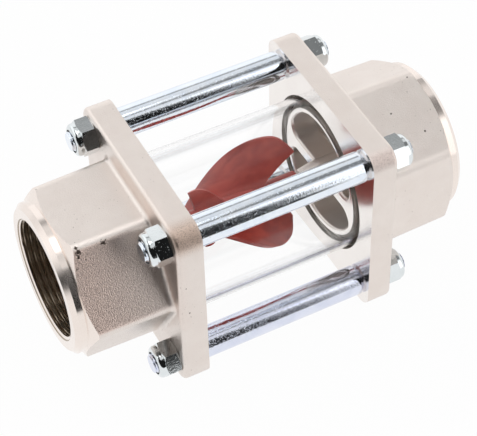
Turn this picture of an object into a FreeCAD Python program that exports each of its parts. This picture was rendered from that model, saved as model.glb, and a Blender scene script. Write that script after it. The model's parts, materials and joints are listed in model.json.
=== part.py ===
# Impeller flow indicator: two cast socket bodies clamp a glass tube between them with four tie rods,
# and a red screw impeller turns on a pin inside the glass. Millimetres; X is the flow axis, Z is up.
import math
import os

import FreeCAD, Part

Vec = FreeCAD.Vector
ALONG_FLOW = Vec(1, 0, 0)

# Square flange and its bolt pattern
flange_thickness = 10.4
flange_corner_radius = 6.5
flange_edge_radius = 1.6
bolt_pitch = 63.0
bolt_edge_distance = 9.0
bolt_hole_clearance = 0.3

# Hexagon socket with a turned collar at its mouth
socket_length = 36.8
hexagon_across_flats = 61.0
hexagon_draft_angle = 1.0
hexagon_corner_radius = 4.5
hexagon_root_radius = 2.0
collar_diameter = 60.0
collar_length = 4.3
collar_bevel = 1.9
corner_chamfer_angle = 30.0

# Pipe thread of size 1 1/2, bored to the root diameter of the thread
thread_root_diameter = 47.8
thread_depth = 24.0
mouth_chamfer = 0.4

# Cored inside: two half-moon ports, the web between them and the axle boss
core_diameter = 48.4
web_thickness = 6.4
web_depth = 10.0
port_corner_radius = 5.0
port_edge_radius = 1.2
boss_root_diameter = 10.8
boss_tip_diameter = 8.0
boss_reach = 8.6
boss_tail = 3.0
boss_tail_radius = 1.5

# Glass tube, its groove and gasket
glass_diameter = 62.0
glass_wall = 2.0
glass_outer_gap = 1.0
glass_inner_gap = 2.6
groove_depth = 4.0
gasket_thickness = 1.5
gasket_side_gap = 0.2

# Shouldered tie rods with threaded ends
rod_shoulder_length = 69.3
rod_diameter = 12.0
rod_chamfer = 1.0
stud_diameter = 8.0
stud_past_nut = 1.2
stud_chamfer = 0.6

# Prevailing-torque nuts with a nylon ring
nut_across_flats = 13.0
nut_hexagon_height = 6.0
nut_height = 8.5
nut_collar_diameter = 12.9
nut_collar_rounding = 1.7
nut_lip = 0.7
nut_corner_chamfer_angle = 30.0
ring_wall = 1.1
ring_height = 1.7
thread_fit_gap = 0.05
inlet_nut_turns = {"front_top": 25.0, "front_bottom": 34.0, "back_top": 33.0, "back_bottom": 8.0}
outlet_nut_turns = {"front_top": 33.0, "front_bottom": 40.0, "back_top": 57.0, "back_bottom": 12.0}

# Axle pin and thrust washers
pin_diameter = 4.0
pin_seat_gap = 0.02
pin_seat_depth = 7.0
washer_diameter = 7.2
washer_thickness = 1.2

# Screw impeller: two twisted leaf blades and two short nose fins on one hub
hub_diameter = 8.8
hub_end_gap = 0.5
hub_nose_rounding = 1.2
hub_running_gap = 0.05
blade_count = 2
blade_pitch = 122.0
blade_lean = -2.1
blade_thickness = 1.6
blade_root_sink = 0.8
blade_turn = 52.9
blade_start = -20.9
blade_start_radius = 6.6
blade_peak = 18.4
blade_radius = 21.7
blade_tip = 22.9
blade_tip_radius = 18.2
blade_root_end = 9.0
blade_fullness = 0.53
fin_count = 2
fin_turn = 121.0
fin_start = -18.6
fin_start_radius = 11.0
fin_peak = -15.2
fin_radius = 11.5
fin_tip = -7.0
fin_tip_radius = 5.3
fin_root_end = -5.0
fin_fullness = 1.0

# Places that follow from the sizes above
inner_face = rod_shoulder_length / 2
outer_face = inner_face + flange_thickness
mouth_face = outer_face + socket_length
hexagon_draft = socket_length * math.tan(math.radians(hexagon_draft_angle))
hexagon_root_across_flats = hexagon_across_flats + 2 * hexagon_draft
core_radius = core_diameter / 2
groove_outer_radius = glass_diameter / 2 + glass_outer_gap
groove_inner_radius = glass_diameter / 2 - glass_wall - glass_inner_gap
groove_floor = inner_face + groove_depth
glass_end = groove_floor - gasket_thickness
boss_tip = inner_face - boss_reach
boss_end = inner_face + web_depth + boss_tail
washer_face = boss_tip - washer_thickness
hub_end = washer_face - hub_end_gap
stud_end = outer_face + nut_height + stud_past_nut
half_pitch = bolt_pitch / 2
flange_side = bolt_pitch + 2 * bolt_edge_distance
hub_radius = hub_diameter / 2
rod_places = {
    "front_top": (-half_pitch, half_pitch),
    "front_bottom": (-half_pitch, -half_pitch),
    "back_top": (half_pitch, half_pitch),
    "back_bottom": (half_pitch, -half_pitch),
}


def cylinder(radius, start, end, y=0.0, z=0.0):
    return Part.makeCylinder(radius, end - start, Vec(start, y, z), ALONG_FLOW)


def ring(outer_radius, inner_radius, start, end):
    return cylinder(outer_radius, start, end).cut(cylinder(inner_radius, start, end))


def turned(profile):
    """Turn a closed profile of (x, radius) points about the flow axis."""
    points = [Vec(x, 0, radius) for x, radius in profile]
    face = Part.Face(Part.makePolygon(points + points[:1]))
    return face.revolve(Vec(0, 0, 0), ALONG_FLOW, 360)


def corner_reach(across_flats):
    """Distance from a hexagon's middle to its corners."""
    return across_flats / 2 / math.cos(math.pi / 6)


def hexagon(start_across_flats, end_across_flats, start, end):
    """Hexagon along X with two corners on the Z axis, drafted from its first width to its last."""
    ends = []
    for across_flats, x in ((start_across_flats, start), (end_across_flats, end)):
        reach = corner_reach(across_flats)
        angles = [math.pi / 2 + i * math.pi / 3 for i in range(6)]
        ends.append([Vec(x, reach * math.cos(a), reach * math.sin(a)) for a in angles])
    sides = [[ends[0][i - 1], ends[0][i], ends[1][i], ends[1][i - 1]] for i in range(6)]
    outlines = [ends[0][::-1], ends[1]] + sides
    faces = [Part.Face(Part.makePolygon(corners + corners[:1])) for corners in outlines]
    return Part.Solid(Part.Shell(faces))


def edges_along_flow(shape):
    return [e for e in shape.Edges if abs(e.tangentAt(e.FirstParameter).x) > 0.99]


def edges_in_plane(shape, x):
    return [e for e in shape.Edges if abs(e.BoundBox.XMin - x) < 1e-4 and abs(e.BoundBox.XMax - x) < 1e-4]


def edges_within(edges, reach):
    """The edges whose middle lies no further than this from the flow axis."""
    return [e for e in edges if math.hypot(e.CenterOfMass.y, e.CenterOfMass.z) < reach]


def at_inlet(shape):
    """The piece turned end for end, from the outlet to the inlet."""
    return shape.rotated(Vec(0, 0, 0), Vec(0, 0, 1), 180)


def half_moon_port(start, end):
    """Port above the web: a circle segment with rounded corners, drawn across the flow."""
    low = web_thickness / 2
    reach = core_radius - port_corner_radius
    rise = low + port_corner_radius
    side = math.sqrt(reach ** 2 - rise ** 2)
    corner = Vec(start, side, rise)
    on_core = Vec(start, side * core_radius / reach, rise * core_radius / reach)
    turn = (math.atan2(rise, side) - math.pi / 2) / 2
    on_corner = corner + Vec(0, port_corner_radius * math.cos(turn), port_corner_radius * math.sin(turn))

    def mirrored(p):
        return Vec(p.x, -p.y, p.z)

    on_web = Vec(start, side, low)
    outline = Part.Wire([
        Part.makeLine(mirrored(on_web), on_web),
        Part.Arc(on_web, on_corner, on_core).toShape(),
        Part.Arc(on_core, Vec(start, 0, core_radius), mirrored(on_core)).toShape(),
        Part.Arc(mirrored(on_core), mirrored(on_corner), mirrored(on_web)).toShape(),
    ])
    return Part.Face(outline).extrude(Vec(end - start, 0, 0))


def flange():
    half = flange_side / 2
    plate = Part.makeBox(flange_thickness, flange_side, flange_side, Vec(inner_face, -half, -half))
    plate = plate.makeFillet(flange_corner_radius, edges_along_flow(plate))
    return plate.makeFillet(flange_edge_radius, edges_in_plane(plate, outer_face))


def socket():
    """Hexagon trimmed by the turned collar and the cone that cuts its corners back."""
    prism = hexagon(hexagon_root_across_flats, hexagon_across_flats, outer_face, mouth_face)
    prism = prism.makeFillet(hexagon_corner_radius, edges_along_flow(prism))
    collar_radius = collar_diameter / 2
    clear_radius = hexagon_across_flats
    collar_start = mouth_face - collar_length
    cone_run = (clear_radius - collar_radius) * math.tan(math.radians(corner_chamfer_angle))
    envelope = turned([
        (outer_face - flange_thickness, 0),
        (outer_face - flange_thickness, clear_radius),
        (collar_start - cone_run, clear_radius),
        (collar_start, collar_radius),
        (mouth_face - collar_bevel, collar_radius),
        (mouth_face, collar_radius - collar_bevel),
        (mouth_face, 0),
    ])
    return prism.common(envelope)


def outlet_body():
    casting = flange().fuse(socket())
    root_edges = edges_within(edges_in_plane(casting, outer_face), corner_reach(hexagon_root_across_flats))
    casting = casting.makeFillet(hexagon_root_radius, root_edges)
    thread_radius = thread_root_diameter / 2
    web_end = inner_face + web_depth
    bore = turned([
        (web_end, 0),
        (web_end, core_radius),
        (mouth_face - thread_depth - (core_radius - thread_radius), core_radius),
        (mouth_face - thread_depth, thread_radius),
        (mouth_face - mouth_chamfer, thread_radius),
        (mouth_face, thread_radius + mouth_chamfer),
        (mouth_face, 0),
    ])
    casting = casting.cut(bore)
    port = half_moon_port(inner_face, web_end)
    casting = casting.cut([port, port.rotated(Vec(0, 0, 0), ALONG_FLOW, 180)])
    port_edges = edges_within(edges_in_plane(casting, inner_face), core_radius)
    casting = casting.makeFillet(port_edge_radius, port_edges)
    boss = turned([
        (boss_tip, 0),
        (boss_tip, boss_tip_diameter / 2),
        (inner_face, boss_root_diameter / 2),
        (boss_end, boss_root_diameter / 2),
        (boss_end, 0),
    ])
    boss = boss.makeFillet(boss_tail_radius, edges_in_plane(boss, boss_end))
    casting = casting.fuse(boss)
    cuts = [ring(groove_outer_radius, groove_inner_radius, inner_face, groove_floor)]
    cuts.append(cylinder(pin_diameter / 2 + pin_seat_gap, boss_tip, boss_tip + pin_seat_depth))
    for y, z in rod_places.values():
        cuts.append(cylinder(stud_diameter / 2 + bolt_hole_clearance, inner_face, outer_face, y, z))
    return casting.cut(cuts).removeSplitter()


def inlet_body(outlet):
    """The same casting turned end for end and a quarter turn about the flow axis."""
    return at_inlet(outlet).rotated(Vec(0, 0, 0), ALONG_FLOW, 90)


def sight_glass():
    outer_radius = glass_diameter / 2
    return ring(outer_radius, outer_radius - glass_wall, -glass_end, glass_end)


def gasket():
    outer_radius = groove_outer_radius - gasket_side_gap
    inner_radius = groove_inner_radius + gasket_side_gap
    return ring(outer_radius, inner_radius, glass_end, groove_floor)


def tie_rod():
    shoulder_radius = rod_diameter / 2
    stud_radius = stud_diameter / 2
    half = [
        (stud_end, 0),
        (stud_end, stud_radius - stud_chamfer),
        (stud_end - stud_chamfer, stud_radius),
        (inner_face, stud_radius),
        (inner_face, shoulder_radius - rod_chamfer),
        (inner_face - rod_chamfer, shoulder_radius),
    ]
    return turned(half + [(-x, radius) for x, radius in reversed(half)])


def lock_nut():
    """Nut standing on the outer face of the outlet flange, bored for the stud and its nylon ring."""
    reach = corner_reach(nut_across_flats)
    flat_radius = nut_across_flats / 2
    collar_radius = nut_collar_diameter / 2
    chamfer_slope = math.tan(math.radians(nut_corner_chamfer_angle))
    hexagon_top = outer_face + nut_hexagon_height
    nut_top = outer_face + nut_height
    envelope = turned([
        (outer_face, 0),
        (outer_face, flat_radius),
        (outer_face + (reach - flat_radius) * chamfer_slope, reach),
        (hexagon_top - (reach - collar_radius) * chamfer_slope, reach),
        (hexagon_top, collar_radius),
        (nut_top, collar_radius),
        (nut_top, 0),
    ])
    envelope = envelope.makeFillet(nut_collar_rounding, edges_in_plane(envelope, nut_top))
    nut = hexagon(nut_across_flats, nut_across_flats, outer_face, nut_top).common(envelope)
    bore_radius = stud_diameter / 2 + thread_fit_gap
    ring_radius = bore_radius + ring_wall
    ring_end = nut_top - nut_lip
    nut = nut.cut(cylinder(bore_radius, outer_face, nut_top))
    nut = nut.cut(cylinder(ring_radius, ring_end - ring_height, ring_end))
    return nut.cut(cylinder(ring_radius - ring_wall / 2, ring_end, nut_top)).removeSplitter()


def nylon_ring():
    bore_radius = stud_diameter / 2 + thread_fit_gap
    ring_end = outer_face + nut_height - nut_lip
    return ring(bore_radius + ring_wall, bore_radius, ring_end - ring_height, ring_end)


def axle_pin():
    half_length = boss_tip + pin_seat_depth
    return cylinder(pin_diameter / 2, -half_length, half_length)


def thrust_washer():
    return ring(washer_diameter / 2, pin_diameter / 2 + hub_running_gap, washer_face, boss_tip)


def leaf(turn, start, start_radius, peak, radius, tip, tip_radius, root_end, fullness):
    """Twisted leaf on the hub: its edge rises from the nose to the peak, falls to the tip and runs back."""
    root_radius = hub_radius - blade_root_sink
    twist = 2 * math.pi / blade_pitch
    steps_along = 12
    steps_across = 4

    def outline(x):
        if x < peak:
            rise = math.sin(math.pi / 2 * (x - start) / (peak - start)) ** fullness
            return start_radius + (radius - start_radius) * rise
        fall = math.cos(math.pi / 2 * (x - peak) / (tip - peak))
        return tip_radius + (radius - tip_radius) * fall

    def face(side):
        grid = []
        for i in range(steps_along + 1):
            along = (1 - math.cos(math.pi * i / steps_along)) / 2
            outer_x = start + (tip - start) * along
            root_x = start + (root_end - start) * along
            row = []
            for j in range(steps_across + 1):
                across = j / steps_across
                x = root_x + (outer_x - root_x) * across
                r = root_radius + (outline(outer_x) - root_radius) * across
                angle = math.radians(turn + blade_lean * (r - hub_radius)) + twist * x
                angle += side * blade_thickness / 2 / r * math.sqrt(1 + (r * twist) ** 2)
                row.append(Vec(x, r * math.cos(angle), r * math.sin(angle)))
            grid.append(row)
        surface = Part.BSplineSurface()
        surface.interpolate(grid)
        return surface

    front, back = face(1), face(-1)
    faces = [front.toShape(), back.toShape()]
    for name, value in (("u", 0), ("u", 1), ("v", 0), ("v", 1)):
        edges = []
        for surface in (front, back):
            first_u, last_u, first_v, last_v = surface.bounds()
            if name == "u":
                edges.append(surface.uIso((first_u, last_u)[value]).toShape())
            else:
                edges.append(surface.vIso((first_v, last_v)[value]).toShape())
        faces.append(Part.makeRuledSurface(edges[0], edges[1], 1))
    shell = Part.makeShell(faces)
    shell.sewShape()
    solid = Part.makeSolid(shell)
    if solid.Volume < 0:
        solid.reverse()
    return solid


def impeller():
    hub = cylinder(hub_radius, -hub_end, hub_end)
    hub = hub.makeFillet(hub_nose_rounding, edges_in_plane(hub, -hub_end))
    leaves = []
    for i in range(blade_count):
        leaves.append(leaf(blade_turn + 360 / blade_count * i, blade_start, blade_start_radius, blade_peak,
                           blade_radius, blade_tip, blade_tip_radius, blade_root_end, blade_fullness))
    for i in range(fin_count):
        leaves.append(leaf(fin_turn + 360 / fin_count * i, fin_start, fin_start_radius, fin_peak,
                           fin_radius, fin_tip, fin_tip_radius, fin_root_end, fin_fullness))
    bore = cylinder(pin_diameter / 2 + hub_running_gap, -hub_end, hub_end)
    return hub.fuse(leaves).cut(bore)


def build():
    """Every piece by its name, in its place."""
    outlet = outlet_body()
    pieces = {
        "outlet_body": outlet,
        "inlet_body": inlet_body(outlet),
        "sight_glass": sight_glass(),
        "outlet_gasket": gasket(),
        "inlet_gasket": at_inlet(gasket()),
        "impeller": impeller(),
        "axle_pin": axle_pin(),
        "outlet_thrust_washer": thrust_washer(),
        "inlet_thrust_washer": at_inlet(thrust_washer()),
    }
    nut = lock_nut()
    nylon = nylon_ring()
    for place, (y, z) in rod_places.items():
        offset = Vec(0, y, z)
        outlet_nut = nut.rotated(Vec(0, 0, 0), ALONG_FLOW, outlet_nut_turns[place])
        inlet_nut = at_inlet(nut).rotated(Vec(0, 0, 0), ALONG_FLOW, inlet_nut_turns[place])
        pieces["tie_rod_" + place] = tie_rod().translated(offset)
        pieces["outlet_lock_nut_" + place] = outlet_nut.translated(offset)
        pieces["inlet_lock_nut_" + place] = inlet_nut.translated(offset)
        pieces["outlet_nylon_ring_" + place] = nylon.translated(offset)
        pieces["inlet_nylon_ring_" + place] = at_inlet(nylon).translated(offset)
    return pieces


def main():
    os.makedirs("parts", exist_ok=True)
    for name, shape in build().items():
        if not shape.isValid():
            raise ValueError("invalid shape: " + name)
        shape.exportStep("parts/%s.step" % name)
        print("%-32s %10.1f mm3, %d faces" % (name, shape.Volume, len(shape.Faces)))


main()
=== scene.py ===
"""Impeller flow indicator, dressed: finishes, cut threads, studio and camera."""
import json
import math

import bmesh
import bpy
from mathutils import Euler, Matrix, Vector


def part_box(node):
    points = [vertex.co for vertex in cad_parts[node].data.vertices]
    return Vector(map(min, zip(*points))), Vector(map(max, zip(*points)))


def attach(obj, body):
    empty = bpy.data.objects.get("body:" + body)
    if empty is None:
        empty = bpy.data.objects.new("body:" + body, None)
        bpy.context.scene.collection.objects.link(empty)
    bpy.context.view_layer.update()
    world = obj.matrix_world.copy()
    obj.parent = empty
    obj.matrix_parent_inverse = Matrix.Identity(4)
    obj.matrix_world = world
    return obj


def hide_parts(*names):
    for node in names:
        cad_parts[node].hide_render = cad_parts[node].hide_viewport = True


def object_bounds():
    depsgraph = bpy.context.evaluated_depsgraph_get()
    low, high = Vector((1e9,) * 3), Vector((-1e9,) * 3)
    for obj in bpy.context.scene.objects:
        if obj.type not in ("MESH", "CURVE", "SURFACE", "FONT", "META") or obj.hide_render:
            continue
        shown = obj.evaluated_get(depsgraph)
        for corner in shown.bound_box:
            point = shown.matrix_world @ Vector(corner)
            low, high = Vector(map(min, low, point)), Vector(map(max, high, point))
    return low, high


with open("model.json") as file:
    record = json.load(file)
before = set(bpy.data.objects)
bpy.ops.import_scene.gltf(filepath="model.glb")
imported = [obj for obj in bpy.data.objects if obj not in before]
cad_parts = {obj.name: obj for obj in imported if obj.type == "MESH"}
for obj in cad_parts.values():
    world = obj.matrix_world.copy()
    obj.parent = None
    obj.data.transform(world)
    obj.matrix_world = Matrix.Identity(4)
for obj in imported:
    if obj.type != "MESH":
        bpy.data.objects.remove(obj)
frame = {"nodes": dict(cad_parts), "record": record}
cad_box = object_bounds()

MM = 0.001
NODES = frame["nodes"]
RECORD = frame["record"]

# Camera of the photograph, taken as 477 by 436 pixels
CAMERA_PLACE = Vector((-201.1, -408.0, 479.6)) * MM
CAMERA_TURN = (42.98, 1.23, -27.48)
CAMERA_LENS = 129.67
SENSOR_WIDTH = 36.0

# Cut threads: crest and root are shares of the pitch, the phase is a share of a turn, and the run-out is
# how steeply the thread fades at its inner end
PIPE_THREAD_PITCH = 2.309 * MM
PIPE_THREAD_DEPTH = 1.0 * MM
PIPE_THREAD_CREST = 0.46
PIPE_THREAD_PHASE = 0.625
PIPE_THREAD_LEAD_IN = 0.4 * MM
PIPE_THREAD_RUN_OUT = 0.7
STUD_THREAD_PITCH = 1.25 * MM
STUD_THREAD_DEPTH = 0.6 * MM
STUD_THREAD_CREST = 0.1
STUD_THREAD_LENGTH = 11.0 * MM
STUD_THREAD_RUN_OUT = 0.5
THREAD_ROOT = 0.09

# Fineness of the meshes: rows to a pitch of thread, points round a circle, and the angle in degrees
# from which an edge stays sharp
PIPE_THREAD_ROWS = 16
PIPE_THREAD_SEGMENTS = 128
STUD_THREAD_ROWS = 8
ROD_SEGMENTS = 72
GLASS_SEGMENTS = 256
SHARP_EDGE = 35.0

# Sizes of the pieces that the frame doesn't state, and how near a face lies to a size to count as on it
FLANGE_THICKNESS = 10.4 * MM
WEB_DEPTH = 10.0 * MM
BOSS_REACH = 8.0 * MM
COLLAR_RADIUS = 30.0 * MM
CHAMFER_REACH = 10.0 * MM
ROD_CHAMFER = 1.0 * MM
STUD_RADIUS = 4.0 * MM
STUD_CHAMFER = 0.6 * MM
GLASS_WALL = 2.0 * MM
GLASS_EDGE = 0.3 * MM
SEAT_MARGIN = 1.0 * MM
TOUCH = 0.05 * MM
# A face of the mouth counts as turned when its normal leans along the flow axis by this share
TURNED_LEAN = 0.05

# Pits left by the sand in the castings: place and radius in millimetres. Speckle roughens a pit's rim,
# and its slope lies between two distances, all as shares of the radius. Pores are as deep as pits.
PIT_RAGGED = 2.4
PIT_RIM = 2.3
PIT_FLOOR = 1.8
PIT_DEPTH = 0.2 * MM
CAST_PITS = (
    ((-63.5, -18.7, 29.1), 1.05),
    ((-73.5, -17.4, 30.0), 0.7),
    ((-73.3, -18.6, 29.0), 1.1),
    ((-73.8, -19.5, 27.4), 0.6),
    ((-75.5, -21.6, 23.9), 0.45),
    ((-71.5, -20.5, 25.9), 0.4),
    ((-42.3, -40.5, 14.5), 0.3),
    ((-41.4, -40.5, 0.6), 0.35),
    ((72.4, -1.1, 34.6), 0.4),
    ((59.6, -11.1, 29.3), 0.35),
    ((69.3, -20.4, 23.7), 0.4),
)

# Coarse skin with worn plating, darkened as painted shade at the inlet flange's corner: the direction it
# faces, the distances from the middle between which it sets in, the places along the flow axis between
# which it ends, in millimetres, and its tone
COARSE_SKIN = (
    ((-0.0175, -0.866, 0.5), (31.45, 31.9), (-40.0, -72.0), "#f3dcd1"),
    # Painted shade: a darker, browner tone on the inlet flange's front top corner, over coarse skin
    ((0.0, -0.707, 0.707), (49.5, 55.0), (-30.0, -36.0), "#cfb9aa"),
    ((0.0, -0.707, 0.707), (52.6, 56.0), (30.0, 36.0), "#ecd8d0"),
)
# Height of the sandy grain on plain and coarse skin, and how much duller coarse skin is
PLAIN_GRAIN = 0.1 * MM
COARSE_GRAIN = 0.2 * MM
COARSE_DULLING = 0.03

# Zinc plate: roughness between its clearest and cloudiest places, and the specks in it, whose edge is a
# share of the noise and whose height is a multiple of the grain's
ZINC_CLEAR = 0.03
ZINC_CLOUDY = 0.08
SPECK_EDGE = 0.15
SPECK_HEIGHT = 1.6
ZINC_GRAIN = 0.015 * MM

# Most of a noise lies between these values
NOISE_LOW = 0.3
NOISE_HIGH = 0.7
# How much a pattern is drawn out along the way a piece was drawn, moulded or ground
DRAWN_STRETCH = 0.05
MOULDED_STRETCH = 0.2
GROUND_STRETCH = 0.05
# Share of a full turn that lays the blur across the tool marks
ACROSS_MARKS = 0.25


def linear(code):
    """An sRGB hex colour as linear RGBA."""
    parts = [int(code[i:i + 2], 16) / 255 for i in (1, 3, 5)]
    return [c / 12.92 if c <= 0.04045 else ((c + 0.055) / 1.055) ** 2.4 for c in parts] + [1.0]


def add(tree, kind, settings=None, inputs=None):
    """One node with its settings; an input is a value or another node's output."""
    made = tree.nodes.new(kind)
    for name, value in (settings or {}).items():
        setattr(made, name, value)
    for name, value in (inputs or {}).items():
        if isinstance(value, bpy.types.NodeSocket):
            tree.links.new(value, made.inputs[name])
        else:
            made.inputs[name].default_value = value
    return made


def new_material(name):
    """An empty material and its node tree."""
    material = bpy.data.materials.new(name)
    material.use_nodes = True
    material.node_tree.nodes.clear()
    return material, material.node_tree


def show(tree, shader):
    """Ends a material's tree in its surface."""
    add(tree, "ShaderNodeOutputMaterial", inputs={"Surface": shader})


def per_metre(size):
    """Noise scale whose features are about this many metres across."""
    return 1.0 / size


# Materials

def sandblasted_nickel_casting():
    """Cast brass, sandblasted and nickel plated: a warm satin with sandy grain, scattered
    pores, casting pits and coarse patches where brass shows through, with painted shade darkening the
    inlet flange's corner."""
    material, tree = new_material("sandblasted_nickel_casting")
    place = add(tree, "ShaderNodeTexCoord").outputs["Object"]
    grit = add(tree, "ShaderNodeTexNoise", inputs={
        "Vector": place, "Scale": per_metre(0.45 * MM), "Detail": 2.0, "Roughness": 0.6}).outputs["Fac"]
    skin = add(tree, "ShaderNodeTexNoise", inputs={
        "Vector": place, "Scale": per_metre(9.0 * MM), "Detail": 4.0, "Roughness": 0.55}).outputs["Fac"]
    cluster = add(tree, "ShaderNodeTexNoise", inputs={
        "Vector": place, "Scale": per_metre(16.0 * MM), "Detail": 2.0}).outputs["Fac"]
    gather = add(tree, "ShaderNodeMapRange", inputs={
        "Value": cluster, "From Min": 0.4, "From Max": 0.65, "To Min": 0.8, "To Max": 0.7})
    speckle = add(tree, "ShaderNodeTexNoise", inputs={
        "Vector": place, "Scale": per_metre(0.7 * MM), "Detail": 1.0}).outputs["Fac"]
    over = add(tree, "ShaderNodeMath", {"operation": "SUBTRACT"}, {
        0: speckle, 1: gather.outputs["Result"]})
    pores = add(tree, "ShaderNodeMapRange", inputs={
        "Value": over.outputs["Value"], "From Min": 0.0, "From Max": 0.12}).outputs["Result"]
    for centre, radius in CAST_PITS:
        away = add(tree, "ShaderNodeVectorMath", {"operation": "DISTANCE"}, {
            0: place, 1: Vector(centre) * MM})
        ragged = add(tree, "ShaderNodeMath", {"operation": "MULTIPLY_ADD"}, {
            0: speckle, 1: PIT_RAGGED * radius * MM, 2: away.outputs["Value"]})
        pit = add(tree, "ShaderNodeMapRange", {"interpolation_type": "SMOOTHSTEP"}, {
            "Value": ragged.outputs["Value"], "From Min": PIT_RIM * radius * MM,
            "From Max": PIT_FLOOR * radius * MM})
        pores = add(tree, "ShaderNodeMath", {"operation": "MAXIMUM"}, {
            0: pores, 1: pit.outputs["Result"]}).outputs["Value"]
    along = add(tree, "ShaderNodeSeparateXYZ", inputs={"Vector": place}).outputs["X"]
    wear_and_painted_shade = add(tree, "ShaderNodeMix", {"data_type": "RGBA"}, {
        "Factor": skin, "A": linear("#e6dbd4"), "B": linear("#f1e9e3")}).outputs["Result"]
    coarse = 0.0
    for facing, (set_in, full), (end, inside), tone in COARSE_SKIN:
        out = add(tree, "ShaderNodeVectorMath", {"operation": "DOT_PRODUCT"}, {
            0: place, 1: Vector(facing)})
        patch = add(tree, "ShaderNodeMapRange", {"interpolation_type": "SMOOTHSTEP"}, {
            "Value": out.outputs["Value"], "From Min": set_in * MM, "From Max": full * MM})
        within = add(tree, "ShaderNodeMapRange", inputs={
            "Value": along, "From Min": end * MM, "From Max": inside * MM})
        both = add(tree, "ShaderNodeMath", {"operation": "MULTIPLY"}, {
            0: patch.outputs["Result"], 1: within.outputs["Result"]})
        coarse = add(tree, "ShaderNodeMath", {"operation": "MAXIMUM"}, {
            0: coarse, 1: both.outputs["Value"]}).outputs["Value"]
        wear_and_painted_shade = add(tree, "ShaderNodeMix", {"data_type": "RGBA"}, {
            "Factor": both.outputs["Value"], "A": wear_and_painted_shade, "B": linear(tone)}).outputs["Result"]
    hollow = add(tree, "ShaderNodeMapRange", inputs={
        "Value": grit, "From Min": 0.48, "From Max": 0.34, "To Min": 0.0, "To Max": 0.6})
    fleck = add(tree, "ShaderNodeMath", {"operation": "MULTIPLY"}, {
        0: hollow.outputs["Result"], 1: coarse})
    flecked = add(tree, "ShaderNodeMix", {"data_type": "RGBA"}, {
        "Factor": fleck.outputs["Value"], "A": wear_and_painted_shade, "B": linear("#8a7671")})
    dirty = add(tree, "ShaderNodeMix", {"data_type": "RGBA"}, {
        "Factor": pores, "A": flecked.outputs["Result"], "B": linear("#574c46")})
    satin = add(tree, "ShaderNodeMapRange", inputs={
        "Value": grit, "From Min": NOISE_LOW, "From Max": NOISE_HIGH, "To Min": 0.42, "To Max": 0.34})
    rough = add(tree, "ShaderNodeMath", {"operation": "MULTIPLY_ADD"}, {
        0: coarse, 1: COARSE_DULLING, 2: satin.outputs["Result"]})
    grain = add(tree, "ShaderNodeMapRange", inputs={
        "Value": coarse, "To Min": PLAIN_GRAIN, "To Max": COARSE_GRAIN})
    sand = add(tree, "ShaderNodeMath", {"operation": "MULTIPLY"}, {0: grit, 1: grain.outputs["Result"]})
    height = add(tree, "ShaderNodeMath", {"operation": "MULTIPLY_ADD"}, {
        0: pores, 1: -PIT_DEPTH, 2: sand.outputs["Value"]})
    # The height is in metres already, so the bump's own distance is one
    relief = add(tree, "ShaderNodeBump", inputs={"Height": height.outputs["Value"], "Distance": 1.0})
    shader = add(tree, "ShaderNodeBsdfPrincipled", inputs={
        "Base Color": dirty.outputs["Result"], "Metallic": 1.0, "Roughness": rough.outputs["Value"],
        "Normal": relief.outputs["Normal"]})
    show(tree, shader.outputs["BSDF"])
    return material


def turned_nickel(name, shade, bright, smooth, rough, across_share):
    """Nickel plate over a lathe-turned face: bright, with fine rings that blur reflections across
    them."""
    material, tree = new_material(name)
    place = add(tree, "ShaderNodeTexCoord").outputs["Object"]
    axes = add(tree, "ShaderNodeSeparateXYZ", inputs={"Vector": place})
    across = add(tree, "ShaderNodeCombineXYZ", inputs={"Y": axes.outputs["Y"], "Z": axes.outputs["Z"]})
    radius = add(tree, "ShaderNodeVectorMath", {"operation": "LENGTH"}, {
        "Vector": across.outputs["Vector"]})
    tool = add(tree, "ShaderNodeMath", {"operation": "ADD"}, {
        0: radius.outputs["Value"], 1: axes.outputs["X"]})
    rings = add(tree, "ShaderNodeTexNoise", {"noise_dimensions": "1D"}, {
        "W": tool.outputs["Value"], "Scale": per_metre(0.35 * MM), "Detail": 3.0})
    stain = add(tree, "ShaderNodeTexNoise", inputs={
        "Vector": place, "Scale": per_metre(14.0 * MM), "Detail": 3.0})
    tone = add(tree, "ShaderNodeMix", {"data_type": "RGBA"}, {
        "Factor": stain.outputs["Fac"], "A": linear(shade), "B": linear(bright)})
    blur = add(tree, "ShaderNodeMapRange", inputs={
        "Value": rings.outputs["Fac"], "From Min": NOISE_LOW, "From Max": NOISE_HIGH, "To Min": smooth,
        "To Max": rough})
    relief = add(tree, "ShaderNodeBump", inputs={
        "Height": rings.outputs["Fac"], "Strength": 0.02, "Distance": 0.05 * MM})
    round_axis = add(tree, "ShaderNodeTangent", {"direction_type": "RADIAL", "axis": "X"})
    shader = add(tree, "ShaderNodeBsdfPrincipled", inputs={
        "Base Color": tone.outputs["Result"], "Metallic": 1.0, "Roughness": blur.outputs["Result"],
        "Anisotropic": across_share, "Anisotropic Rotation": ACROSS_MARKS,
        "Normal": relief.outputs["Normal"], "Tangent": round_axis.outputs["Tangent"]})
    show(tree, shader.outputs["BSDF"])
    return material


def cut_brass_thread():
    """Thread cut in the socket, thinly plated: a warm brown-grey shine with tool marks."""
    material, tree = new_material("cut_brass_thread")
    place = add(tree, "ShaderNodeTexCoord").outputs["Object"]
    marks = add(tree, "ShaderNodeTexNoise", inputs={
        "Vector": place, "Scale": per_metre(1.2 * MM), "Detail": 4.0})
    tone = add(tree, "ShaderNodeMix", {"data_type": "RGBA"}, {
        "Factor": marks.outputs["Fac"], "A": linear("#8f8170"), "B": linear("#b7aa98")})
    shader = add(tree, "ShaderNodeBsdfPrincipled", inputs={
        "Base Color": tone.outputs["Result"], "Metallic": 1.0, "Roughness": 0.32})
    show(tree, shader.outputs["BSDF"])
    return material


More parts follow.
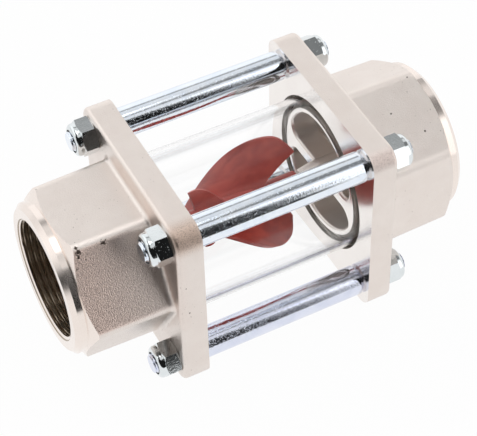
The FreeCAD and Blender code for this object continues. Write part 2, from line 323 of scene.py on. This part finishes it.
def bright_zinc_plate(name, shade, bright, scuffed, specks):
    """Steel with bright zinc: a cool, cloudy mirror with fine specks in the plating, duller where
    scuffed."""
    material, tree = new_material(name)
    place = add(tree, "ShaderNodeTexCoord").outputs["Object"]
    grain = add(tree, "ShaderNodeTexNoise", inputs={
        "Vector": place, "Scale": per_metre(0.7 * MM), "Detail": 3.0, "Roughness": 0.6})
    cloud = add(tree, "ShaderNodeTexNoise", inputs={
        "Vector": place, "Scale": per_metre(6.0 * MM), "Detail": 3.0})
    tone = add(tree, "ShaderNodeMix", {"data_type": "RGBA"}, {
        "Factor": cloud.outputs["Fac"], "A": linear(shade), "B": linear(bright)})
    rough = add(tree, "ShaderNodeMapRange", inputs={
        "Value": grain.outputs["Fac"], "From Min": NOISE_LOW, "From Max": NOISE_HIGH,
        "To Min": ZINC_CLEAR + scuffed, "To Max": ZINC_CLOUDY + scuffed})
    pimple = add(tree, "ShaderNodeTexNoise", inputs={
        "Vector": place, "Scale": per_metre(0.45 * MM), "Detail": 1.0})
    speck = add(tree, "ShaderNodeMapRange", inputs={
        "Value": pimple.outputs["Fac"], "From Min": specks, "From Max": specks + SPECK_EDGE})
    height = add(tree, "ShaderNodeMath", {"operation": "MULTIPLY_ADD"}, {
        0: speck.outputs["Result"], 1: SPECK_HEIGHT, 2: grain.outputs["Fac"]})
    relief = add(tree, "ShaderNodeBump", inputs={
        "Height": height.outputs["Value"], "Distance": ZINC_GRAIN})
    shader = add(tree, "ShaderNodeBsdfPrincipled", inputs={
        "Base Color": tone.outputs["Result"], "Metallic": 1.0, "Roughness": rough.outputs["Result"],
        "Normal": relief.outputs["Normal"]})
    show(tree, shader.outputs["BSDF"])
    return material


def drawn_glass():
    """Drawn borosilicate tube: colourless, seen only by its edges and soft reflections."""
    material, tree = new_material("drawn_glass")
    place = add(tree, "ShaderNodeTexCoord").outputs["Object"]
    draw = add(tree, "ShaderNodeMapping", inputs={"Vector": place, "Scale": (DRAWN_STRETCH, 1.0, 1.0)})
    streak = add(tree, "ShaderNodeTexNoise", inputs={
        "Vector": draw.outputs["Vector"], "Scale": per_metre(8.0 * MM), "Detail": 2.0})
    relief = add(tree, "ShaderNodeBump", inputs={
        "Height": streak.outputs["Fac"], "Strength": 0.02, "Distance": 0.1 * MM})
    glass = add(tree, "ShaderNodeBsdfPrincipled", inputs={
        "Base Color": linear("#ffffff"), "Roughness": 0.0, "IOR": 1.47, "Transmission Weight": 1.0,
        "Specular Tint": linear("#b8b8b8"), "Normal": relief.outputs["Normal"]})
    show(tree, glass.outputs["BSDF"])
    return material


def moulded_red_plastic():
    """Injection-moulded red polymer: dull brick red with a soft sheen, flow streaks and an uneven
    skin."""
    material, tree = new_material("moulded_red_plastic")
    place = add(tree, "ShaderNodeTexCoord").outputs["Object"]
    drawn_out = add(tree, "ShaderNodeMapping", inputs={
        "Vector": place, "Scale": (MOULDED_STRETCH, 1.0, 1.0)})
    flow = add(tree, "ShaderNodeTexNoise", inputs={
        "Vector": drawn_out.outputs["Vector"], "Scale": per_metre(5.0 * MM), "Detail": 3.0,
        "Distortion": 0.4})
    streak = add(tree, "ShaderNodeMapRange", inputs={
        "Value": flow.outputs["Fac"], "From Min": 0.35, "From Max": 0.65})
    skin = add(tree, "ShaderNodeTexNoise", inputs={
        "Vector": place, "Scale": per_metre(0.6 * MM), "Detail": 3.0})
    tone = add(tree, "ShaderNodeMix", {"data_type": "RGBA"}, {
        "Factor": streak.outputs["Result"], "A": linear("#c34d43"), "B": linear("#de6154")})
    rough = add(tree, "ShaderNodeMapRange", inputs={
        "Value": flow.outputs["Fac"], "From Min": NOISE_LOW, "From Max": NOISE_HIGH, "To Min": 0.36,
        "To Max": 0.48})
    relief = add(tree, "ShaderNodeBump", inputs={
        "Height": skin.outputs["Fac"], "Strength": 0.1, "Distance": 0.06 * MM})
    shader = add(tree, "ShaderNodeBsdfPrincipled", inputs={
        "Base Color": tone.outputs["Result"], "Roughness": rough.outputs["Result"], "IOR": 1.5,
        "Normal": relief.outputs["Normal"]})
    show(tree, shader.outputs["BSDF"])
    return material


def plain_moulding(name, dark, light, roughness, ior):
    """A small moulded or rubber piece: near one colour, with a faint mottle and a matt skin."""
    material, tree = new_material(name)
    place = add(tree, "ShaderNodeTexCoord").outputs["Object"]
    mottle = add(tree, "ShaderNodeTexNoise", inputs={
        "Vector": place, "Scale": per_metre(1.5 * MM), "Detail": 3.0})
    tone = add(tree, "ShaderNodeMix", {"data_type": "RGBA"}, {
        "Factor": mottle.outputs["Fac"], "A": linear(dark), "B": linear(light)})
    shader = add(tree, "ShaderNodeBsdfPrincipled", inputs={
        "Base Color": tone.outputs["Result"], "Roughness": roughness, "IOR": ior})
    show(tree, shader.outputs["BSDF"])
    return material


def ground_stainless():
    """Centreless-ground stainless pin: grey, with fine rings round it."""
    material, tree = new_material("ground_stainless")
    place = add(tree, "ShaderNodeTexCoord").outputs["Object"]
    stretch = add(tree, "ShaderNodeMapping", inputs={
        "Vector": place, "Scale": (1.0, GROUND_STRETCH, GROUND_STRETCH)})
    rings = add(tree, "ShaderNodeTexNoise", inputs={
        "Vector": stretch.outputs["Vector"], "Scale": per_metre(0.3 * MM), "Detail": 3.0})
    tone = add(tree, "ShaderNodeMix", {"data_type": "RGBA"}, {
        "Factor": rings.outputs["Fac"], "A": linear("#b4b4b4"), "B": linear("#cfcfce")})
    shader = add(tree, "ShaderNodeBsdfPrincipled", inputs={
        "Base Color": tone.outputs["Result"], "Metallic": 1.0, "Roughness": 0.25})
    show(tree, shader.outputs["BSDF"])
    return material


# Pieces

def turned_piece(name, stations, segments, centre=(0.0, 0.0), ring=False):
    """Mesh turned about a line along X through centre. A station is (x, radius), and the radius may be a
    function of the angle. A ring closes on itself; anything else is capped at both ends."""
    points = []
    for x, radius in stations:
        for i in range(segments):
            angle = 2 * math.pi * i / segments
            r = radius(angle) if callable(radius) else radius
            points.append((x, centre[0] + r * math.cos(angle), centre[1] + r * math.sin(angle)))
    rows = len(stations)
    faces = []
    for j in range(rows if ring else rows - 1):
        here = j * segments
        there = (j + 1) % rows * segments
        for i in range(segments):
            k = (i + 1) % segments
            faces.append((here + i, there + i, there + k, here + k))
    if not ring:
        faces.append(tuple(range(segments)))
        faces.append(tuple(reversed(range((rows - 1) * segments, rows * segments))))
    mesh = bpy.data.meshes.new(name)
    mesh.from_pydata(points, [], faces)
    shell = bmesh.new()
    shell.from_mesh(mesh)
    bmesh.ops.recalc_face_normals(shell, faces=shell.faces)
    shell.to_mesh(mesh)
    shell.free()
    mesh.shade_smooth()
    mesh.set_sharp_from_angle(angle=math.radians(SHARP_EDGE))
    piece = bpy.data.objects.new(name, mesh)
    bpy.context.scene.collection.objects.link(piece)
    return piece


def finish_piece(piece, material, slot, *replaced):
    """Gives a piece its finish, sets it on the housing and hides the frame's parts that it replaces. The
    slot is not used.
    """
    piece.data.materials.append(material)
    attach(piece, "housing")
    if replaced:
        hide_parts(*replaced)


def thread_wave(x, angle, pitch, crest, phase=0.0):
    """Height of a thread at a place, from 0 in the root to 1 on the crest, which takes its share of
    the pitch."""
    turn = (x / pitch - angle / (2 * math.pi) + phase) % 1.0
    flank = 1.0 - abs(2.0 * turn - 1.0)
    return min(1.0, max(0.0, (flank - THREAD_ROOT) / (1.0 - crest - THREAD_ROOT)))


def pipe_threads():
    """The thread inside each mouth, on the bored wall that the frame states."""
    for side, sign in (("inlet", -1), ("outlet", 1)):
        mount = next(m for m in RECORD["mounts"] if m["name"] == side + "_thread")
        wall = mount["dims"]["r_mm"] * MM
        length = mount["dims"]["length_mm"] * MM
        mouth = abs(mount["pos_m"][0])
        rows = int(length / PIPE_THREAD_PITCH * PIPE_THREAD_ROWS)
        stations = []
        for j in range(rows + 1):
            inward = length * j / rows

            def crest(angle, inward=inward):
                wave = thread_wave(
                    inward, sign * angle, PIPE_THREAD_PITCH, PIPE_THREAD_CREST, PIPE_THREAD_PHASE)
                lead_in = inward * PIPE_THREAD_DEPTH / PIPE_THREAD_LEAD_IN
                run_out = (length - inward) * PIPE_THREAD_RUN_OUT
                return wall - min(PIPE_THREAD_DEPTH * wave, lead_in, run_out)

            stations.append((sign * (mouth - inward), crest))
        stations.append((sign * (mouth - length), wall))
        stations.append((sign * mouth, wall))
        piece = turned_piece(side + "_pipe_thread", stations, PIPE_THREAD_SEGMENTS, ring=True)
        finish_piece(piece, THREAD, "nickel_plated_casting")
        rim = len(piece.data.materials)
        piece.data.materials.append(COLLAR)
        for face in piece.data.polygons:
            if abs(face.center.x) > mouth - PIPE_THREAD_LEAD_IN:
                face.material_index = rim


def inner_face():
    """Distance of the flanges' machined faces from the middle."""
    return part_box("outlet_lock_nut_front_top")[0].x - FLANGE_THICKNESS


def tie_rods():
    """Shouldered bars with the thread cut on both ends."""
    for place in ("front_top", "front_bottom", "back_top", "back_bottom"):
        node = "tie_rod_" + place
        low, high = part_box(node)
        centre = ((low.y + high.y) / 2, (low.z + high.z) / 2)
        bar = (high.z - low.z) / 2
        shoulder = inner_face()
        end = high.x
        rows = int(STUD_THREAD_LENGTH / STUD_THREAD_PITCH * STUD_THREAD_ROWS)
        half = []
        for j in range(rows + 1):
            inward = STUD_THREAD_LENGTH * j / rows

            def cut(angle, inward=inward):
                wave = thread_wave(inward, angle, STUD_THREAD_PITCH, STUD_THREAD_CREST)
                depth = STUD_THREAD_DEPTH * (1.0 - wave)
                chamfer = max(0.0, STUD_CHAMFER - inward)
                run_out = (STUD_THREAD_LENGTH - inward) * STUD_THREAD_RUN_OUT
                return STUD_RADIUS - max(min(depth, run_out), chamfer)

            half.append((end - inward, cut))
        half.append((shoulder, STUD_RADIUS))
        half.append((shoulder, bar - ROD_CHAMFER))
        half.append((shoulder - ROD_CHAMFER, bar))
        stations = half + [(-x, radius) for x, radius in reversed(half)]
        piece = turned_piece("threaded_" + node, stations, ROD_SEGMENTS, centre)
        finish_piece(piece, DULL_ZINC if place == "front_bottom" else ZINC, "zinc_plated_steel", node)


def glass_tube():
    """The sight glass with its ground ends, fine enough for clean refraction."""
    low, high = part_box("sight_glass")
    outer = (high.z - low.z) / 2
    inner = outer - GLASS_WALL
    end = high.x
    stations = [
        (-end, inner + GLASS_EDGE), (-end, outer - GLASS_EDGE), (-end + GLASS_EDGE, outer),
        (end - GLASS_EDGE, outer), (end, outer - GLASS_EDGE), (end, inner + GLASS_EDGE),
        (end - GLASS_EDGE, inner), (-end + GLASS_EDGE, inner),
    ]
    piece = turned_piece("drawn_sight_glass", stations, GLASS_SEGMENTS, ring=True)
    finish_piece(piece, GLASS, "borosilicate_glass", "sight_glass")


def dress_body(node):
    """Cast skin all over, with the turned faces, collar and bore in their own finish."""
    body = NODES[node]
    low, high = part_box(node)
    mouth = max(abs(low.x), abs(high.x))
    bore_wall = RECORD["mounts"][0]["dims"]["r_mm"] * MM + SEAT_MARGIN
    face_depth = inner_face()
    seal_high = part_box("outlet_gasket")[1]
    groove_outer = seal_high.z + SEAT_MARGIN
    finishes = (CASTING, TURNED, THREAD, COLLAR)
    body.data.materials.clear()
    for material in finishes:
        body.data.materials.append(material)
    for face in body.data.polygons:
        centre = face.center
        depth = abs(centre.x)
        radius = math.hypot(centre.y, centre.z)
        on_face = abs(depth - face_depth) < TOUCH
        in_groove = bore_wall < radius < groove_outer and depth < seal_high.x + TOUCH
        turned = abs(face.normal.x) > TURNED_LEAN or radius < COLLAR_RADIUS + TOUCH
        on_mouth = depth > mouth - CHAMFER_REACH and turned
        nearest = min(abs(body.data.vertices[i].co.x) for i in face.vertices)
        in_bore = BOSS_REACH < radius < bore_wall and nearest > face_depth + WEB_DEPTH + TOUCH
        if in_bore:
            finish = THREAD
        elif on_mouth:
            finish = COLLAR
        elif on_face or in_groove:
            finish = TURNED
        else:
            finish = CASTING
        face.material_index = finishes.index(finish)


def dress(node, material):
    """One finish all over a node of the frame."""
    NODES[node].data.materials.clear()
    NODES[node].data.materials.append(material)


# Studio

# Fewer bounces than this means none
NO_BOUNCE = 0.5


def in_plain_view(tree, path):
    """One for what the camera sees straight on or through the glass, nothing for what only lights the
    object."""
    bounces = add(tree, "ShaderNodeMath", {"operation": "ADD"}, {
        0: path.outputs["Diffuse Depth"], 1: path.outputs["Glossy Depth"]})
    unbounced = add(tree, "ShaderNodeMath", {"operation": "LESS_THAN"}, {
        0: bounces.outputs["Value"], 1: NO_BOUNCE})
    through_glass = add(tree, "ShaderNodeMath", {"operation": "MULTIPLY"}, {
        0: path.outputs["Is Transmission Ray"], 1: unbounced.outputs["Value"]})
    return add(tree, "ShaderNodeMath", {"operation": "MAXIMUM"}, {
        0: path.outputs["Is Camera Ray"], 1: through_glass.outputs["Value"]}).outputs["Value"]


# Floor: half its width in metres, and the share of it that shows as plain white beside the shadow
FLOOR_REACH = 3.0
FLOOR_WHITE = 0.97
# Painted pool of light on the paper, as metal and glass mirror it: where it ends in front of the object,
# and how bright the paper glows beyond
PAINTED_POOL_EDGE = (-0.28, -0.23)
PAINTED_POOL_BEYOND = 0.02
# Painted window light on the paper past a slanting line, as metal mirrors it: its slant and the width
# over which it sets in
PAINTED_WINDOW_SLANT = 0.364
PAINTED_WINDOW_EDGE = 0.03
# Painted shade on the floor under the front rods, as glass and metal show it: its middle, half its
# length and width, the width of its edge, and how bright it stays
PAINTED_SHADE_MIDDLE = -26.0 * MM
PAINTED_SHADE_REACH = (45.0 * MM, 5.0 * MM)
PAINTED_SHADE_EDGE = 1.5 * MM
PAINTED_SHADE_LEVEL = 0.04


def studio_floor():
    """A pale sweep at the foot of the flanges that keeps a faint shadow. Metal and glass mirror painted
    light on it near the object and on the window's side, and painted shade in front and under the front
    rods."""
    size = FLOOR_REACH
    z = cad_box[0].z
    corners = [(-size, -size, z), (size, -size, z), (size, size, z), (-size, size, z)]
    mesh = bpy.data.meshes.new("studio_floor")
    mesh.from_pydata(corners, [], [(0, 1, 2, 3)])
    floor = bpy.data.objects.new("studio_floor", mesh)
    bpy.context.scene.collection.objects.link(floor)
    material, tree = new_material("white_paper_sweep")
    path = add(tree, "ShaderNodeLightPath")
    seen = in_plain_view(tree, path)
    place = add(tree, "ShaderNodeNewGeometry").outputs["Position"]
    axes = add(tree, "ShaderNodeSeparateXYZ", inputs={"Vector": place})
    # Painted pool of light near the object, seen only in reflections
    painted_pool = add(tree, "ShaderNodeMapRange", {"interpolation_type": "SMOOTHSTEP"}, {
        "Value": axes.outputs["Y"], "From Min": PAINTED_POOL_EDGE[0], "From Max": PAINTED_POOL_EDGE[1],
        "To Min": PAINTED_POOL_BEYOND, "To Max": 1.0})
    # Painted window light on the paper, past a slanting line
    across = add(tree, "ShaderNodeMath", {"operation": "MULTIPLY_ADD"}, {
        0: axes.outputs["Y"], 1: PAINTED_WINDOW_SLANT, 2: axes.outputs["X"]})
    painted_window_light = add(tree, "ShaderNodeMapRange", {"interpolation_type": "SMOOTHSTEP"}, {
        "Value": across.outputs["Value"], "From Min": 0.0, "From Max": PAINTED_WINDOW_EDGE})
    # Painted light on the paper: the pool and the window's side together
    painted_light = add(tree, "ShaderNodeMath", {"operation": "MAXIMUM"}, {
        0: painted_pool.outputs["Result"], 1: painted_window_light.outputs["Result"]})
    # Painted shade under the front rods, seen through the glass and in metal
    beside = add(tree, "ShaderNodeMath", {"operation": "ABSOLUTE"}, {0: axes.outputs["X"]})
    between = add(tree, "ShaderNodeMapRange", {"interpolation_type": "SMOOTHSTEP"}, {
        "Value": beside.outputs["Value"], "From Min": PAINTED_SHADE_REACH[0],
        "From Max": PAINTED_SHADE_REACH[0] - PAINTED_SHADE_EDGE})
    ahead = add(tree, "ShaderNodeMath", {"operation": "SUBTRACT"}, {
        0: axes.outputs["Y"], 1: PAINTED_SHADE_MIDDLE})
    off_middle = add(tree, "ShaderNodeMath", {"operation": "ABSOLUTE"}, {0: ahead.outputs["Value"]})
    beneath = add(tree, "ShaderNodeMapRange", {"interpolation_type": "SMOOTHSTEP"}, {
        "Value": off_middle.outputs["Value"], "From Min": PAINTED_SHADE_REACH[1],
        "From Max": PAINTED_SHADE_REACH[1] - PAINTED_SHADE_EDGE})
    shade = add(tree, "ShaderNodeMath", {"operation": "MULTIPLY"}, {
        0: between.outputs["Result"], 1: beneath.outputs["Result"]})
    # Dims the floor's glow where the painted shade lies
    painted_shade_dimming = add(tree, "ShaderNodeMapRange", inputs={
        "Value": shade.outputs["Value"], "To Min": 1.0, "To Max": PAINTED_SHADE_LEVEL})
    mirrored = add(tree, "ShaderNodeMath", {"operation": "MULTIPLY"}, {
        0: path.outputs["Is Glossy Ray"], 1: painted_light.outputs["Value"]})
    either = add(tree, "ShaderNodeMath", {"operation": "MAXIMUM"}, {
        0: seen, 1: mirrored.outputs["Value"]})
    dimmed = add(tree, "ShaderNodeMath", {"operation": "MULTIPLY"}, {
        0: either.outputs["Value"], 1: painted_shade_dimming.outputs["Result"]})
    strength = add(tree, "ShaderNodeMath", {"operation": "MAXIMUM"}, {
        0: dimmed.outputs["Value"], 1: path.outputs["Is Camera Ray"]})
    shown = add(tree, "ShaderNodeMath", {"operation": "MAXIMUM"}, {
        0: seen, 1: path.outputs["Is Glossy Ray"]})
    share = add(tree, "ShaderNodeMath", {"operation": "MULTIPLY"}, {
        0: shown.outputs["Value"], 1: FLOOR_WHITE})
    paper = add(tree, "ShaderNodeBsdfDiffuse", inputs={"Color": linear("#f2f2f2")})
    white = add(tree, "ShaderNodeEmission", inputs={"Strength": strength.outputs["Value"]})
    shader = add(tree, "ShaderNodeMixShader", inputs={
        0: share.outputs["Value"], 1: paper.outputs["BSDF"], 2: white.outputs["Emission"]})
    show(tree, shader.outputs["Shader"])
    floor.data.materials.append(material)


# Studio seen from the object: azimuth from +Y towards +X and elevation of each panel's middle, half its
# width and height, the softness of its edge, all in degrees, and its brightness
STUDIO_WALL = 1.1
STUDIO_PANELS = (
    ("back_wall", 24.0, 12.0, 55.0, 30.0, 8.0, 1.38),
    ("wall_top", 10.0, 47.0, 48.0, 5.0, 5.0, 0.45),
    ("ceiling", 0.0, 90.0, 360.0, 27.0, 6.0, 1.0),
    ("ceiling_shade", 108.0, 58.0, 28.0, 15.0, 5.0, 0.3),
    ("left_shade", 268.0, 61.0, 42.0, 12.0, 4.0, 0.1),
    ("left_light", 310.0, 36.0, 40.0, 20.0, 6.0, 1.6),
    ("overhead_light", 0.0, 90.0, 360.0, 15.0, 4.0, 3.2),
    ("window_light", 143.0, 16.0, 18.0, 34.0, 4.0, 1.9),
)
DARK_SIDE = ("dark_side", 206.0, 19.0, 58.0, 33.0, 3.0, 0.015)
# Two places on the straight edge where the dark side ends, as azimuth and elevation, and its softness
DARK_EDGE = ((160.0, 0.0), (155.2, 47.5))
DARK_EDGE_SOFTNESS = 1.2


def heading_vector(azimuth, elevation):
    """The direction of an azimuth and elevation in degrees."""
    turn, rise = math.radians(azimuth), math.radians(elevation)
    return Vector((math.sin(turn) * math.cos(rise), math.cos(turn) * math.cos(rise), math.sin(rise)))


def studio_world():
    """White walls, brightest behind the object, soft lights overhead, on the left and at a window on the
    right, shade between them and a dark side behind the camera."""
    world = bpy.data.worlds.new("studio")
    bpy.context.scene.world = world
    world.use_nodes = True
    tree = world.node_tree
    tree.nodes.clear()
    direction = add(tree, "ShaderNodeTexCoord").outputs["Generated"]
    axes = add(tree, "ShaderNodeSeparateXYZ", inputs={"Vector": direction})
    heading = add(tree, "ShaderNodeMath", {"operation": "ARCTAN2"}, {
        0: axes.outputs["X"], 1: axes.outputs["Y"]}).outputs["Value"]
    height = add(tree, "ShaderNodeMath", {"operation": "ARCSINE"}, {
        0: axes.outputs["Z"]}).outputs["Value"]
    edge_normal = heading_vector(*DARK_EDGE[0]).cross(heading_vector(*DARK_EDGE[1])).normalized()
    beyond = add(tree, "ShaderNodeVectorMath", {"operation": "DOT_PRODUCT"}, {
        0: direction, 1: edge_normal})
    fade = math.sin(math.radians(DARK_EDGE_SOFTNESS))
    past_edge = add(tree, "ShaderNodeMapRange", {"interpolation_type": "SMOOTHSTEP"}, {
        "Value": beyond.outputs["Value"], "From Min": -fade, "From Max": fade}).outputs["Result"]
    level = STUDIO_WALL
    for panel in STUDIO_PANELS + (DARK_SIDE,):
        name, azimuth, elevation, half_width, half_height, softness, brightness = panel
        turned = add(tree, "ShaderNodeMath", {"operation": "SUBTRACT"}, {
            0: heading, 1: math.radians(azimuth)})
        wrapped = add(tree, "ShaderNodeMath", {"operation": "WRAP"}, {
            0: turned.outputs["Value"], 1: math.pi, 2: -math.pi})
        aside = add(tree, "ShaderNodeMath", {"operation": "ABSOLUTE"}, {0: wrapped.outputs["Value"]})
        raised = add(tree, "ShaderNodeMath", {"operation": "SUBTRACT"}, {
            0: height, 1: math.radians(elevation)})
        above = add(tree, "ShaderNodeMath", {"operation": "ABSOLUTE"}, {0: raised.outputs["Value"]})
        mask = past_edge if panel is DARK_SIDE else 1.0
        for distance, half in ((aside, half_width), (above, half_height)):
            ramp = {"interpolation_type": "SMOOTHSTEP", "label": name}
            inside = add(tree, "ShaderNodeMapRange", ramp, {
                "Value": distance.outputs["Value"], "From Min": math.radians(half + softness),
                "From Max": math.radians(half - softness)})
            mask = add(tree, "ShaderNodeMath", {"operation": "MULTIPLY"}, {
                0: mask, 1: inside.outputs["Result"]}).outputs["Value"]
        level = add(tree, "ShaderNodeMix", {"data_type": "FLOAT"}, {
            "Factor": mask, "A": level, "B": brightness}).outputs["Result"]
    path = add(tree, "ShaderNodeLightPath")
    strength = add(tree, "ShaderNodeMix", {"data_type": "FLOAT"}, {
        "Factor": in_plain_view(tree, path), "A": level, "B": 1.0})
    light = add(tree, "ShaderNodeBackground", inputs={"Strength": strength.outputs["Result"]})
    add(tree, "ShaderNodeOutputWorld", inputs={"Surface": light.outputs["Background"]})


def photo_camera():
    """The camera that took the photograph."""
    data = bpy.data.cameras.new("photo_camera")
    data.sensor_width = SENSOR_WIDTH
    data.lens = CAMERA_LENS
    camera = bpy.data.objects.new("photo_camera", data)
    camera.location = CAMERA_PLACE
    camera.rotation_euler = Euler([math.radians(a) for a in CAMERA_TURN])
    bpy.context.scene.collection.objects.link(camera)
    bpy.context.scene.camera = camera


CASTING = sandblasted_nickel_casting()
TURNED = turned_nickel(
    "fine_turned_nickel", "#ece5e1", "#f8f4f0", smooth=0.14, rough=0.2, across_share=0.4)
COLLAR = turned_nickel(
    "rough_turned_nickel", "#ece0d8", "#f5ebe4", smooth=0.15, rough=0.21, across_share=0.5)
THREAD = cut_brass_thread()
ZINC = bright_zinc_plate(
    "bright_zinc_on_drawn_bar", "#dbe6f4", "#f6f9fc", scuffed=0.0, specks=0.64)
DULL_ZINC = bright_zinc_plate(
    "scuffed_zinc_on_drawn_bar", "#cfd5e8", "#e9ecf7", scuffed=0.03, specks=0.57)
NUT_ZINC = bright_zinc_plate(
    "bright_zinc_on_forged_nut", "#d4dadb", "#ecf0f2", scuffed=0.0, specks=0.72)
GLASS = drawn_glass()
RED = moulded_red_plastic()
RUBBER = plain_moulding(
    "cut_grey_sealing_rubber", "#bdb8af", "#cfcac1", roughness=0.6, ior=1.5)
# Near-black nylon ring: partly dark nylon, partly painted shade inside the nut's collar
NYLON_AND_PAINTED_SHADE = plain_moulding(
    "moulded_dark_nylon_and_painted_shade", "#191a1c", "#26282b", roughness=0.45, ior=1.53)
BEARING = plain_moulding(
    "pressed_white_bearing_plastic", "#d8d5cd", "#e6e3da", roughness=0.4, ior=1.45)
STAINLESS = ground_stainless()

for name in NODES:
    if name.endswith("_body"):
        dress_body(name)
    elif "lock_nut" in name:
        dress(name, NUT_ZINC)
    elif "nylon_ring" in name:
        dress(name, NYLON_AND_PAINTED_SHADE)
    elif "gasket" in name:
        dress(name, RUBBER)
    elif "thrust_washer" in name:
        dress(name, BEARING)
    elif name == "axle_pin":
        dress(name, STAINLESS)
    elif name == "impeller":
        dress(name, RED)
pipe_threads()
tie_rods()
glass_tube()
studio_floor()
studio_world()
photo_camera()
bpy.context.scene.view_settings.view_transform = "Standard"
